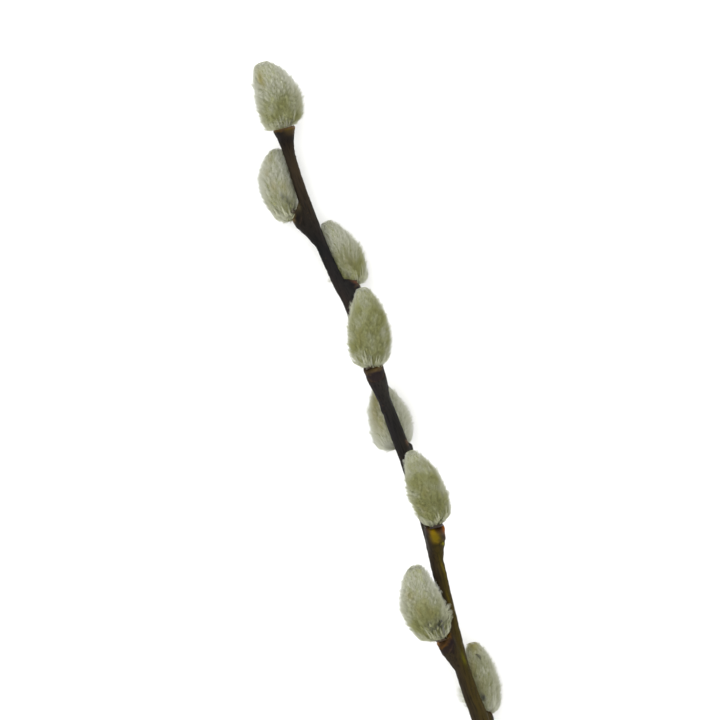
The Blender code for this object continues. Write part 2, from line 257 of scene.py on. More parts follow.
def smooth_line(points, steps):
    """Points on the smooth curve through the given ones, a row each, moved to the frame."""
    knots = np.array(points, float)
    knots[:, :3] += DESIGN_SHIFT
    padded = np.vstack([2 * knots[0] - knots[1], knots, 2 * knots[-1] - knots[-2]])
    share = np.arange(steps)[:, None] / steps
    rows = []
    for before, start, end, after in zip(padded, padded[1:], padded[2:], padded[3:]):
        bend = (2 * before - 5 * start + 4 * end - after) * share**2
        turn = (3 * start - before - 3 * end + after) * share**3
        rows.append((2 * start + (end - before) * share + bend + turn) / 2)
    return np.vstack([*rows, knots[-1:]])


STEM_LINE = smooth_line(STEM, STEM_STEPS)


def stem_at(place):
    """The stem's centre and direction at a place along it, given in the branch's own numbers."""
    x = place + DESIGN_SHIFT[0]
    after = int(np.searchsorted(STEM_LINE[:, 0], x))
    near, far = STEM_LINE[after - 1], STEM_LINE[after]
    share = (x - near[0]) / (far[0] - near[0])
    return (near + (far - near) * share)[:3], unit((far - near)[:3])


def seat_of(catkin):
    """The middle of a catkin's seat, the way it faces, and the way out from the stem."""
    if catkin.place is None:
        return STEM_LINE[-1, :3], unit(STEM_LINE[-1, :3] - STEM_LINE[-2, :3]), UP
    centre, line = stem_at(catkin.place)
    turn, lean = math.radians(catkin.turn), math.radians(catkin.lean)
    outward = RIGHT * math.cos(turn) + UP * math.sin(turn)
    outward = unit(outward - line * outward.dot(line))
    return centre + outward * SEAT_OUT, line * math.cos(lean) + outward * math.sin(lean), outward


def cushion_line(catkin):
    """The centre line and radius of a cushion, from inside the stem to its seat."""
    seat, facing, outward = seat_of(catkin)
    rows = []
    for rise, share, size in CUSHION:
        centre, _ = stem_at(catkin.place + rise)
        rows.append([*(centre + outward * SEAT_OUT * share), catkin.seat * size])
    rows.append([*(seat - facing * SEAT_DEPTH), catkin.seat])
    rows.append([*seat, catkin.seat])
    return np.array(rows)


SEATS_ON_STEM = [catkin for catkin in CATKINS if catkin.place is not None]
WOOD_LINES = [STEM_LINE] + [cushion_line(catkin) for catkin in SEATS_ON_STEM]


def beside(points, start, run):
    """Each point's share of the way along a run, and its offset from the nearest place on it."""
    share = (points - start[:3]) @ run / (run @ run)
    offset = points - start[:3] - np.clip(share, 0, 1)[:, None] * run
    return share, offset, np.linalg.norm(offset, axis=1)


def out_of_wood(points, margin):
    """Moves the points that are inside the wood out of it, and says how deep each one was."""
    nearest = np.full(len(points), np.inf)
    away = np.zeros_like(points)
    for line in WOOD_LINES:
        for start, end in zip(line, line[1:]):
            share, offset, distance = beside(points, start, (end - start)[:3])
            clear = distance - start[3] - np.clip(share, 0, 1) * (end[3] - start[3])
            along = (share > -END_OVERLAP) & (share < 1 + END_OVERLAP)
            closer = (clear < nearest) & along
            nearest[closer] = clear[closer]
            away[closer] = offset[closer] / np.maximum(distance[closer], TINY)[:, None]
    push = np.maximum(margin - nearest, 0)
    return points + away * push[:, None], push


def select_only(*objects):
    for other in list(bpy.context.selected_objects):
        other.select_set(False)
    for obj in objects:
        obj.select_set(True)
    bpy.context.view_layer.objects.active = objects[0]


def apply_modifier(obj, kind, **settings):
    select_only(obj)
    modifier = obj.modifiers.new(kind.lower(), kind)
    for name, value in settings.items():
        setattr(modifier, name, value)
    bpy.ops.object.modifier_apply(modifier=modifier.name)


def join(first, *others):
    select_only(first, *others)
    bpy.ops.object.join()
    return first


def rows_of(source, field):
    flat = np.empty(len(source) * 3, np.float32)
    source.foreach_get(field, flat)
    return flat.reshape(-1, 3).astype(float)


def points_of(obj):
    """The object's vertices in millimetres, a row each."""
    return rows_of(obj.data.vertices, "co") / MM


def set_points(obj, points):
    obj.data.vertices.foreach_set("co", (points * MM).astype(np.float32).ravel())
    obj.data.update()


# An attribute's kind and field, by how many numbers a vertex has
KINDS = {1: ("FLOAT", "value"), 3: ("FLOAT_VECTOR", "vector"), 4: ("FLOAT_COLOR", "color")}


def paint(obj, name, values):
    """Stores a number, a vector or a colour for each vertex."""
    kind, field = KINDS[1 if values.ndim == 1 else values.shape[1]]
    attribute = obj.data.attributes.new(name, kind, "POINT")
    attribute.data.foreach_set(field, values.astype(np.float32).ravel())


def linked(name, data):
    """A new object in the scene that holds this data."""
    obj = bpy.data.objects.new(name, data)
    bpy.context.scene.collection.objects.link(obj)
    return obj


def new_piece(name, points, faces):
    """A mesh from points in millimetres and faces, as an object at the origin."""
    mesh = bpy.data.meshes.new(name)
    mesh.from_pydata((points * MM).tolist(), [], faces)
    return linked(name, mesh)


def edit_all(*steps):
    """Runs edit-mode steps, each an operator and its settings, on all of the active mesh."""
    bpy.ops.object.mode_set(mode="EDIT")
    for operator, settings in steps:
        bpy.ops.mesh.select_all(action="SELECT")
        operator(**settings)
    bpy.ops.object.mode_set(mode="OBJECT")


def take_shape(obj):
    """Removes a pattern's object for its vertices and faces, in an order that stays the same."""
    points = points_of(obj) * MM
    faces = sorted(tuple(face.vertices) for face in obj.data.polygons)
    bpy.data.objects.remove(obj, do_unlink=True)
    return points, faces


def copies(pattern, count):
    """The faces of that many copies of a pattern, one after another."""
    points, faces = pattern
    starts = np.arange(count)[:, None] * len(points)
    return [copy for face in faces for copy in (starts + face).tolist()]


def linear(colour):
    """An sRGB hex colour as linear red, green, blue and 1."""
    found = []
    for place in (1, 3, 5):
        part = int(colour[place : place + 2], 16) / 255
        found.append(part / 12.92 if part <= 0.04045 else ((part + 0.055) / 1.055) ** 2.4)
    return (*found, 1.0)


def add_node(tree, kind, inputs=None, stops=None, **settings):
    """Adds a node. An input is a value or the socket that feeds it; stops are a ramp's colours."""
    node = tree.nodes.new("ShaderNode" + kind)
    for name, value in settings.items():
        setattr(node, name, value)
    for name, value in (inputs or {}).items():
        if isinstance(value, bpy.types.NodeSocket):
            tree.links.new(value, node.inputs[name])
        else:
            node.inputs[name].default_value = value
    if stops:
        ramp = node.color_ramp
        while len(ramp.elements) < len(stops):
            ramp.elements.new(1.0)
        for element, (place, colour) in zip(ramp.elements, stops):
            element.position = place
            element.color = linear(colour)
    return node


def stored(tree, name, field):
    """What paint stored for each vertex under that name."""
    return add_node(tree, "Attribute", attribute_name=name).outputs[field]


def remap(tree, value, start, end, low=0.0, high=1.0):
    """A value from start to end as one from low to high, held between them."""
    inputs = {"Value": value, "From Min": start, "From Max": end, "To Min": low, "To Max": high}
    return add_node(tree, "MapRange", inputs).outputs["Result"]


def cloud(tree, vector, scale, detail):
    """Soft noise between 0 and 1."""
    inputs = {"Vector": vector, "Scale": scale, "Detail": detail}
    return add_node(tree, "TexNoise", inputs).outputs["Fac"]


def ramp(tree, share, *stops):
    """The colour at a share of the way through the stops, each a place and a colour."""
    return add_node(tree, "ValToRGB", {"Fac": share}, stops=stops).outputs["Color"]


def mix(tree, share, under, over, blend="MIX"):
    """A share of one colour over another."""
    inputs = {0: share, 6: under, 7: over}
    return add_node(tree, "Mix", inputs, data_type="RGBA", blend_type=blend).outputs[2]


def held_product(tree, first, second):
    """Two values multiplied, held between 0 and 1."""
    inputs = {0: first, 1: second}
    return add_node(tree, "Math", inputs, operation="MULTIPLY", use_clamp=True).outputs["Value"]


def roughen(tree, shader, height, strength, depth):
    """Fine bumps on what the mesh already shapes, with their depth in millimetres."""
    bump = add_node(tree, "Bump", {"Height": height, "Strength": strength, "Distance": depth * MM})
    tree.links.new(bump.outputs["Normal"], shader.inputs["Normal"])


def new_material(name, **sockets):
    """A material, its node tree and its shader, with the shader's constant sockets set."""
    material = bpy.data.materials.new(name)
    material.use_nodes = True
    shader = material.node_tree.nodes["Principled BSDF"]
    for socket, value in sockets.items():
        shader.inputs[socket.replace("_", " ")].default_value = value
    return material, material.node_tree, shader


# The bark's colours from one place along the stem to another, as shares of the way
BARK_RUN = (-100.0, 84.0)
SHADY_BARK = (
    (0.0, "#2B2415"), (0.35, "#2C2418"), (0.56, "#1B1A1A"), (0.74, "#2A2320"),
    (0.83, "#111213"), (0.94, "#2B2318"), (1.0, "#1A1512"),
)
SUNNY_BARK = (
    (0.0, "#352D14"), (0.36, "#3A300B"), (0.50, "#262119"), (0.57, "#1D1C1A"),
    (0.64, "#2C2A25"), (0.82, "#1A191A"), (0.94, "#332A1D"), (1.0, "#221B12"),
)
# The cut face's colours from the pith out to the bark
CUT_WOOD = (
    (0.0, "#6E5433"), (0.13, "#8E7850"), (0.20, "#B7AA84"), (0.52, "#AFA078"),
    (0.58, "#9C8C62"), (0.62, "#B4A77F"), (0.80, "#A89B6E"), (0.86, "#6E7238"),
    (0.92, "#55401F"), (1.0, "#33271A"),
)


# Bark of a first-year willow shoot: smooth, thin and faintly waxy, so it has a satin gloss. It is
# blue-black and brown-black towards the tip and olive-brown lower down, greener on the sunny side.
def make_bark():
    material, tree, shader = new_material("willow_bark", IOR=1.45, Specular_IOR_Level=0.06)
    grain = stored(tree, "grain", "Vector")
    marks = add_node(tree, "Attribute", attribute_name="marks")
    parts = add_node(tree, "SeparateXYZ", {"Vector": grain})
    along = remap(tree, parts.outputs["Z"], *BARK_RUN)
    shady = ramp(tree, along, *SHADY_BARK)
    sunny = ramp(tree, along, *SUNNY_BARK)
    # The sunny side is on the right, in long uneven patches
    stretched = add_node(tree, "Mapping", {"Vector": grain, "Scale": (0.55, 0.55, 0.10)})
    mottle = cloud(tree, stretched.outputs["Vector"], 1.6, 4.0)
    sunward = remap(tree, parts.outputs["X"], -0.9, 1.0)
    sided = held_product(tree, sunward, mottle)
    ground = mix(tree, held_product(tree, sided, 2.0), shady, sunny)
    # Wrinkles 0.3 mm apart that run with the stem
    fibres = add_node(tree, "Mapping", {"Vector": grain, "Scale": (3.2, 3.2, 0.28)})
    wrinkles = cloud(tree, fibres.outputs["Vector"], 1.0, 5.0)
    shade = ramp(tree, wrinkles, (0.30, "#8A8A8A"), (0.52, "#F2F2F2"), (0.75, "#FFF2E4"))
    toned = mix(tree, 0.9, ground, shade, "MULTIPLY")
    tinted = mix(tree, marks.outputs["Alpha"], toned, marks.outputs["Color"])
    tree.links.new(tinted, shader.inputs["Base Color"])
    gloss = remap(tree, wrinkles, 0.3, 0.7, 0.42, 0.62)
    tree.links.new(gloss, shader.inputs["Roughness"])
    roughen(tree, shader, wrinkles, 0.5, 0.08)
    return material


# Freshly pruned wood: pale and matte, with growth rings, a green inner bark and a brown pith.
def make_cut_wood():
    material, tree, shader = new_material("pruned_wood", Roughness=0.75, Specular_IOR_Level=0.25)
    centre, _ = stem_at(CUT_PLACE)
    place = add_node(tree, "TexCoord").outputs["Object"]
    inputs = {0: place, 1: tuple(centre * MM)}
    moved = add_node(tree, "VectorMath", inputs, operation="SUBTRACT").outputs[0]
    inputs = {0: moved, 1: (0.0, 1 / MM, 1 / MM)}
    across = add_node(tree, "VectorMath", inputs, operation="MULTIPLY").outputs[0]
    reach = add_node(tree, "VectorMath", {0: across}, operation="LENGTH").outputs["Value"]
    inputs = {0: cloud(tree, across, 1.4, 3.0), 1: 0.5, 2: reach}
    uneven = add_node(tree, "Math", inputs, operation="MULTIPLY_ADD").outputs["Value"]
    rings = ramp(tree, remap(tree, uneven, 0.2, 2.75), *CUT_WOOD)
    tree.links.new(rings, shader.inputs["Base Color"])
    roughen(tree, shader, cloud(tree, across, 9.0, 2.0), 0.4, 0.05)
    return material


# Silky down of a willow catkin: very fine, pale grey hairs with a soft gloss, darker at the root as
# painted shade deep in the coat, and greener or yellower where the flowers under them show through.
def make_hair():
    material, tree, shader = new_material("silky_hair", Roughness=0.5, Specular_IOR_Level=0.3)
    strand = stored(tree, "strand", "Fac")
    parts = add_node(tree, "SeparateXYZ", {"Vector": stored(tree, "tone", "Vector")})
    # All ramps run darker towards the root: painted shade of the hairs deep in the coat
    grey = ((0.0, "#ABAD8C"), (0.4, "#C3C4AC"), (0.8, "#D9DACB"), (1.0, "#E4E5DB"))
    tints = {
        "X": ((0.0, "#6E7040"), (0.4, "#8F9058"), (1.0, "#AFB07C")),
        "Y": ((0.0, "#7A7030"), (0.5, "#A69C54"), (1.0, "#BFB67C")),
        # Z darkens the hair: dark bract tips that show, and painted shadow at catkin 1's foot
        "Z": ((0.0, "#1E1D20"), (0.6, "#3A3A40"), (1.0, "#55555C")),
    }
    colour = ramp(tree, strand, *grey)
    for part, stops in tints.items():
        colour = mix(tree, parts.outputs[part], colour, ramp(tree, strand, *stops))
    tree.links.new(colour, shader.inputs["Base Color"])
    return material


# Flower core and bracts: soft plant tissue, dull olive green, with brown-black bract tips.
def make_flower():
    material, tree, shader = new_material(
        "flower_and_bracts", Roughness=0.7, Specular_IOR_Level=0.25
    )
    strand = stored(tree, "strand", "Fac")
    parts = add_node(tree, "SeparateXYZ", {"Vector": stored(tree, "tone", "Vector")})
    tipped = ramp(
        tree, strand, (0.0, "#7B7D52"), (0.45, "#6F7050"), (0.70, "#3A3838"), (1.0, "#262528")
    )
    place = add_node(tree, "TexCoord").outputs["Object"]
    speckle = cloud(tree, place, 700.0, 3.0)
    plain = ramp(tree, speckle, (0.35, "#7E8058"), (0.65, "#96986E"))
    tree.links.new(mix(tree, parts.outputs["X"], tipped, plain), shader.inputs["Base Color"])
    return material


# Bud scale: a thin, dry, horny cap, glossy and orange-brown, darker where it has weathered.
def make_bud_scale():
    material, tree, shader = new_material(
        "bud_scale_husk", IOR=1.45, Roughness=0.4, Specular_IOR_Level=0.25
    )
    tint = stored(tree, "tint", "Fac")
    place = add_node(tree, "TexCoord").outputs["Object"]
    streaks = cloud(tree, place, 1500.0, 3.0)
    weathered = ramp(tree, tint, (0.0, "#1E1815"), (0.5, "#3E2E1A"), (1.0, "#6A4C1A"))
    shade = ramp(tree, streaks, (0.3, "#8C8078"), (0.6, "#FFFFFF"))
    colour = mix(tree, 0.7, weathered, shade, "MULTIPLY")
    tree.links.new(colour, shader.inputs["Base Color"])
    roughen(tree, shader, streaks, 0.4, 0.05)
    return material


def add_tube(name, line):
    """A round tube along a line of x, y, z and radius."""
    curve = bpy.data.curves.new(name, "CURVE")
    curve.dimensions = "3D"
    curve.bevel_depth = MM
    curve.bevel_resolution = 12
    curve.use_fill_caps = True
    spline = curve.splines.new("POLY")
    spline.points.add(len(line) - 1)
    for knot, (x, y, z, radius) in zip(spline.points, line):
        knot.co = (x * MM, y * MM, z * MM, 1.0)
        knot.radius = radius
    tube = linked(name, curve)
    select_only(tube)
    bpy.ops.object.convert(target="MESH")
    return tube


def stem_grain(points):
    """Each point's place in the straightened stem: to the right, up, and along."""
    nearest = np.full(len(points), np.inf)
    found = np.zeros_like(points)
    runs = np.diff(STEM_LINE[:, :3], axis=0)
    travelled = STEM_LINE[0, 0] + np.append(0, np.cumsum(np.linalg.norm(runs, axis=1)))
    for start, run, begun in zip(STEM_LINE, runs, travelled):
        share, offset, distance = beside(points, start, run)
        closer = distance < nearest
        nearest[closer] = distance[closer]
        place = begun + np.clip(share, 0, 1) * np.linalg.norm(run)
        found[closer] = np.column_stack([offset @ RIGHT, offset @ UP, place])[closer]
    return found


# The wood of each node's cushion, from the tip down, and the band of old bud scale round its rim
NODE_COLOURS = (
    ("#1A1614", "#4E3C14"),
    ("#1E1A12", "#2E2414"),
    ("#1B1A1C", "#42301E"),
    ("#241C1C", "#3C3020"),
    ("#30281C", "#3E3424"),
    ("#231B18", "#34241C"),
    ("#231916", "#4A3110"),
    ("#261D14", "#45301A"),
)
# Coloured places on the upper side, as x, y, size along and across, colour, cover and any height
WOOD_SPOTS = (
    (83.2, 2.9, 0.5, 0.8, "#33202A", 0.8),
    (83.0, 1.6, 0.7, 1.2, "#5A4A1A", 0.9),
    (82.7, 0.2, 0.8, 0.8, "#5E441C", 0.9, 0.04),
    (81.9, 1.2, 0.8, 1.6, "#3A2E1A", 0.7),
    (62.4, 7.6, 1.2, 0.6, "#4E4224", 0.95, 0.10),
    (61.0, 8.0, 0.8, 0.5, "#5C4C2C", 0.9, 0.05),
    (60.8, 6.6, 1.2, 0.9, "#120E0C", 0.8),
    (63.8, 5.4, 1.6, 0.6, "#3A3322", 0.8),
    (41.3, -2.3, 0.6, 0.8, "#5A3A2A", 0.8, 0.12),
    (40.6, -1.0, 0.9, 0.9, "#161416", 0.7),
    (19.2, 0.1, 0.65, 1.4, "#5E4E30", 0.9, 0.10),
    (18.0, 0.1, 0.35, 1.6, "#1C1518", 0.8, -0.08),
    (20.4, 2.0, 0.8, 0.4, "#3A2A2A", 0.7),
    (-0.8, -1.9, 1.0, 0.8, "#4C3A2A", 0.8, 0.15),
    (-24.4, -0.7, 1.9, 0.7, "#725A04", 0.95),
    (-25.6, -0.9, 1.5, 1.2, "#5E4E06", 0.8),
    (-23.3, -2.1, 1.0, 0.7, "#3A2410", 0.8),
    (-24.3, -3.7, 1.3, 0.6, "#7A4510", 0.9, 0.05),
    (-27.6, -2.2, 0.5, 0.5, "#6E6A10", 0.8, 0.15),
    (-33.5, -0.2, 4.0, 0.35, "#54480A", 0.7),
    (-40.5, 0.9, 3.0, 0.35, "#54480A", 0.6),
    (-49.6, 4.3, 0.9, 1.1, "#5E4416", 0.9, 0.06),
    (-51.5, 3.6, 1.2, 0.9, "#1A1214", 0.7),
    (-50.8, 6.9, 0.5, 0.5, "#86603A", 0.9, 0.25),
    (-56.5, 2.0, 2.5, 0.6, "#4E4A06", 0.7),
    (-71.5, -0.3, 0.9, 0.8, "#5E3E1E", 0.8, 0.15),
    (8.6, 2.0, 0.7, 0.5, "#1C1A18", 0.6, 0.22),
)
# Ridges of the bark, as depth, stretch along each axis, size and seed, and the raggedness of marks
BARK_RIDGES = ((0.08, (1, 1, 0.08), 0.75, 0.0), (0.10, (1, 1, 1), 1.3, 50.0))
RAGGED_SIZE, RAGGED_SEED = 0.6, 9.0
# How far a seat's colours reach from the line through it, and in front of it
SEAT_REACH, SEAT_FRONT = 3.4, 1.0
# Leaf scar: half its width, how far it lies below the seat, how far it bows, and its bundle marks
SCAR_HALF_WIDTH = 1.7
SCAR_PLACE, SCAR_BOW, SCAR_FACE = -2.3, 0.75, 0.42
BUNDLES = (-0.9, 0.0, 0.9)
# Lenticels: their number, where they start and end, and their least size and what is added to it
LENTICELS = 120
LENTICEL_START, LENTICEL_SPAN = -98.0, 178.0
LENTICEL_SIZE, LENTICEL_EXTRA = 0.20, 0.12
# Only faces this square to the cut, and no further than this from its middle, are cut wood
CUT_SQUARE, CUT_REACH = 0.999, 6.0


def bell(values, centre, width):
    return np.exp(-(((values - centre) / width) ** 2))


def grown(values, start, run):
    """0 up to the start, 1 past the run after it, and a straight slope between."""
    return np.clip((values - start) / run, 0, 1)


def rough_noise(points, size, seed):
    places = [Vector((x / size, y / size, z / size + seed)) for x, y, z in points]
    return np.array([noise.noise(place) for place in places])


class WoodSurface:
    """The wood at each point: its relief in millimetres and the colours of its marks."""

    def __init__(self, points):
        self.points = points
        self.grain = stem_grain(points)
        self.turned = np.arctan2(self.grain[:, 1], self.grain[:, 0])
        self.marks = np.zeros((len(points), 4))
        self.relief = sum(
            depth * rough_noise(self.grain * stretch, size, seed)
            for depth, stretch, size, seed in BARK_RIDGES
        )
        self.ragged = rough_noise(points, RAGGED_SIZE, RAGGED_SEED)
        for catkin, colours in zip(CATKINS, NODE_COLOURS):
            self.add_seat(catkin, *colours)
        for spot in WOOD_SPOTS:
            self.add_spot(*spot)
        for number in range(LENTICELS):
            self.add_lenticel(number)

    def mark(self, colour, cover):
        """Lays a colour over what is there."""
        cover = np.clip(cover, 0, 1)[:, None]
        self.marks[:, :3] = self.marks[:, :3] * (1 - cover) + np.array(linear(colour)[:3]) * cover
        self.marks[:, 3] = 1 - (1 - self.marks[:, 3]) * (1 - cover[:, 0])

    def add_seat(self, catkin, wood, band):
        """A cushion's colour, the band and ridge of old scale round its rim, and its leaf scar."""
        seat, facing, outward = seat_of(catkin)
        offset = self.points - seat
        height = offset @ facing + 0.3 * self.ragged
        out = offset @ outward
        reach = np.linalg.norm(offset - height[:, None] * facing, axis=1)
        near = (reach < SEAT_REACH) & (height < SEAT_FRONT)
        on_stem = catkin.place is not None
        outer = near * (grown(out, -1.5, 1.0) if on_stem else 1.0)
        self.mark(wood, outer * bell(height, -1.8, 2.4) * 0.85)
        self.mark(band, outer * grown(height, -0.9, 0.35) * (0.75 + 0.5 * self.ragged))
        self.mark("#2A211C", near * grown(height, -0.15, 0.2) * 0.5)
        self.relief += outer * 0.07 * bell(height, -0.8, 0.22)
        if on_stem:
            side = offset @ np.cross(facing, outward)
            self.add_scar(height, side, near & (np.abs(side) < SCAR_HALF_WIDTH) & (out > -1.0))

    def add_scar(self, height, side, inside):
        """A leaf scar: a raised dark rim, bowed away from the seat, round bundle marks."""
        rim = SCAR_PLACE - SCAR_BOW * (1 - (side / SCAR_HALF_WIDTH) ** 2)
        ridge = 0.13 * bell(height, rim, 0.22) - 0.05 * bell(height, rim + 0.5, 0.25)
        self.relief += inside * ridge
        self.mark("#16110E", inside * bell(height, rim, 0.22) * 0.7)
        self.mark("#3E3022", inside * bell(height, rim + SCAR_FACE, 0.20) * 0.6)
        for place in BUNDLES:
            bundle = bell(height, rim + SCAR_FACE, 0.13) * bell(side, place, 0.14)
            self.mark("#16100C", inside * bundle)

    def add_spot(self, x, y, along, across, colour, cover, proud=0.0):
        """A coloured place, which fades out down the stem's sides."""
        offset = self.points - DESIGN_SHIFT - (x, y, 0) + 0.2 * self.ragged[:, None]
        spot = bell(offset[:, 0], 0, along) * bell(offset[:, 1], 0, across)
        spot *= grown(self.grain[:, 1], -0.5, 1.0)
        self.relief += proud * spot
        self.mark(colour, spot * 1.3 * cover)

    def add_lenticel(self, number):
        """A small paler wart. Steps that never come round again scatter the places and sizes."""
        place = LENTICEL_START + LENTICEL_SPAN * ((number * 0.61803) % 1.0)
        turn = (self.turned - number * 2.17 + math.pi) % (2 * math.pi) - math.pi
        size = LENTICEL_SIZE + LENTICEL_EXTRA * ((number * 0.317) % 1.0)
        spot = bell(self.grain[:, 2], place, size * 0.8) * bell(np.abs(turn) * 1.7, 0.0, size)
        self.relief += 0.10 * spot
        self.mark("#463A28", spot * 0.7)


def build_stem(bark, cut_wood):
    stem = join(*[add_tube("bark_stem", line) for line in WOOD_LINES])
    apply_modifier(stem, "REMESH", mode="VOXEL", voxel_size=WOOD_VOXEL * MM)
    apply_modifier(stem, "SMOOTH", factor=0.5, iterations=WOOD_SMOOTHING)
    points = points_of(stem)
    push = WoodSurface(points).relief + WOOD_SWELL
    set_points(stem, points + rows_of(stem.data.vertex_normals, "vector") * push[:, None])
    centre, _ = stem_at(CUT_PLACE)
    cut_line = Vector((math.cos(CUT_SLANT), 0.0, -math.sin(CUT_SLANT)))
    plane = {"plane_co": tuple(centre * MM), "plane_no": cut_line}
    select_only(stem)
    edit_all((bpy.ops.mesh.bisect, {**plane, "use_fill": True, "clear_inner": True}))
    surface = WoodSurface(points_of(stem))
    paint(stem, "grain", surface.grain)
    paint(stem, "marks", surface.marks)
    stem.data.materials.clear()
    stem.data.materials.append(bark)
    stem.data.materials.append(cut_wood)
    furthest = (centre[0] + CUT_REACH) * MM
    for face in stem.data.polygons:
        is_cut = face.normal.dot(-cut_line) > CUT_SQUARE and face.center.x < furthest
        face.material_index = int(is_cut)
        face.use_smooth = not is_cut
    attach(stem, "root")
    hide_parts("twig")


def envelope(share, widest, foot, crown):
    """A catkin's radius along its length, as a share of the largest."""
    share = np.clip(share, 0.002, 0.998)
    fullness = np.where(share < widest, foot, crown)
    return np.sin(math.pi * share ** (math.log(0.5) / math.log(widest))) ** fullness


class Body:
    """A catkin's bent axis, with places on and round it in millimetres."""

    def __init__(self, catkin):
        self.catkin = catkin
        points = np.array([catkin.base, catkin.middle, catkin.tip]) + DESIGN_SHIFT
        self.base, middle, self.tip = points
        self.length = np.linalg.norm(self.tip - self.base)
        self.axis = unit(self.tip - self.base)
        self.side = unit(np.cross(self.axis, UP))
        self.front = np.cross(self.side, self.axis)
        self.bulge = middle - (self.base + self.tip) / 2
        self.seat, self.facing, self.outward = seat_of(catkin)

    def spokes(self, turns):
        return np.cos(turns)[:, None] * self.front + np.sin(turns)[:, None] * self.side

    def middle_at(self, share):
        """The place on the axis at a share of the length."""
        held = np.clip(share, 0, 1)
        return self.base + (self.tip - self.base) * share + self.bulge * 4 * held * (1 - held)

    def place(self, share, turns, reach):
        """Points at a share of the length, a turn round the axis and a distance from it."""
        return self.middle_at(share[:, None]) + self.spokes(turns) * reach[:, None]

    def radius(self, share, turns=None):
        """The coat's radius, with soft lumps where a turn round the axis is given."""
        catkin = self.catkin
        even = catkin.radius * envelope(share, catkin.widest, catkin.foot, catkin.crown)
        if turns is None:
            return even
        lumps = []
        for turn, place in zip(turns, share):
            x, y = math.cos(turn) * LUMPS_ROUND, math.sin(turn) * LUMPS_ROUND
            lumps.append(noise.noise(Vector((x, y, place * LUMPS_ALONG + self.base[0]))))
        return even * (1 + LUMPS * np.array(lumps))


def rest_on_table(points):
    """Presses what would go through the table flat on to it."""
    start = LOWEST_TIP + SETTLE
    low = points[:, 2] < start
    points[low, 2] = LOWEST_TIP + SETTLE * np.exp((points[low, 2] - start) / SETTLE)
    return points


def kept_clear(body, points):
    """The points moved to in front of the seat, out of the wood, on the table and in the box."""
    behind = np.maximum(-SEAT_GAP - (points - body.seat) @ body.facing, 0)
    points = rest_on_table(points + behind[:, None] * body.facing)
    points, pushed = out_of_wood(points, WOOD_CLEARANCE)
    points[:, 1] = np.clip(points[:, 1], -HALF_WIDTH, HALF_WIDTH)
    return points, pushed


def hair_pattern(bends):
    """One hair: a three-sided needle, 1 long and 1 in radius, kept thick up to any bend."""
    bpy.ops.mesh.primitive_cone_add(
        vertices=3, radius1=1.0, radius2=0.0, depth=1.0, location=(0, 0, 0.5)
    )
    needle = bpy.context.object
    bpy.ops.object.transform_apply(location=True)
    if bends:
        plane = {"plane_co": (0, 0, 0.5), "plane_no": (0, 0, 1)}
        edit_all((bpy.ops.mesh.bisect, plane), (bpy.ops.mesh.quads_convert_to_tris, {}))
    points, faces = take_shape(needle)
    bend = np.abs(points[:, 2] - 0.5) < 0.01
    points[bend, :2] *= 1.7
    return points, faces


def bract_pattern():
    """One bract: a hollow spoon, 1 long, narrower towards the tip and a fifth as thick."""
    bpy.ops.mesh.primitive_uv_sphere_add(segments=8, ring_count=6, radius=0.5, location=(0, 0, 0.5))
    spoon = bpy.context.object
    bpy.ops.object.transform_apply(location=True)
    flatter = {"value": (1.0, 0.22, 1.0), "center_override": (0, 0, 0.5)}
    edit_all((bpy.ops.transform.resize, flatter), (bpy.ops.mesh.quads_convert_to_tris, {}))
    points, faces = take_shape(spoon)
    points[:, 1] += 0.5 * points[:, 0] ** 2
    points[:, 0] *= 1.1 - 0.5 * points[:, 2]
    return points, faces


def patches(points, size):
    """Slow, soft noise between 0 and 1, with patches of about that many millimetres."""
    found = np.array([noise.noise(Vector(point) / size) for point in points])
    return np.clip(0.5 + found, 0, 1)


def lay_copies(name, pattern, lines, width, spin, outward, strand, tone):
    """Copies of a pattern, each bent along its own line from root through bend to tip, painted."""
    shape, _ = pattern
    roots, bends, tips = lines
    height = shape[:, 2][None, :, None]
    curve = (
        roots[:, None] * (1 - height) * (1 - 2 * height)
        + bends[:, None] * 4 * height * (1 - height)
        + tips[:, None] * height * (2 * height - 1)
    )
    run = unit(tips - roots)
    side = unit(np.cross(run, outward))
    front = np.cross(side, run)
    across = np.cos(spin)[:, None] * side + np.sin(spin)[:, None] * front
    over = np.cos(spin)[:, None] * front - np.sin(spin)[:, None] * side
    offset = shape[None, :, :1] * across[:, None] + shape[None, :, 1:2] * over[:, None]
    points = (curve + offset * width[:, None, None]).reshape(-1, 3)
    points[:, 2] = np.maximum(points[:, 2], TABLE_GAP)
    piece = new_piece(name, points, copies(pattern, len(roots)))
    paint(piece, "strand", np.tile(strand, len(roots)))
    paint(piece, "tone", np.repeat(tone, len(shape), axis=0))
    return piece


def spread_of_length(body, count):
    """Shares of the length that spread that many places evenly over the surface."""
    fine = np.linspace(0.015, 0.985, 400)
    radius = body.radius(fine)
    slope = np.gradient(radius, fine * body.length)
    weight = np.cumsum(radius * np.sqrt(1 + slope**2))
    return np.interp((np.arange(count) + 0.5) / count, weight / weight[-1], fine)


def spot_on(body, x, y):
    """The share of the length and the turn of the place on a body's upper side over x and y."""
    point = np.array([x, y, 0.0]) + DESIGN_SHIFT
    flat = np.array([1.0, 1.0, 0.0])
    run = (body.tip - body.base) * flat
    share = (point - body.base) @ run / (run @ run)
    across = (point - body.middle_at(share)) * flat @ body.side
    return share, math.asin(np.clip(across / body.radius(np.array([share]))[0], -1, 1))


def near_spot(body, share, turn, x, y, along, across):
    """How close each place is to a spot over x and y, of that size in millimetres, from 0 to 1."""
    spot_share, spot_turn = spot_on(body, x, y)
    round_about = np.sin((turn - spot_turn) / 2) * 2 * np.maximum(body.radius(share), LEAST_RADIUS)
    return bell((share - spot_share) * body.length, 0, along) * bell(round_about, 0, across)


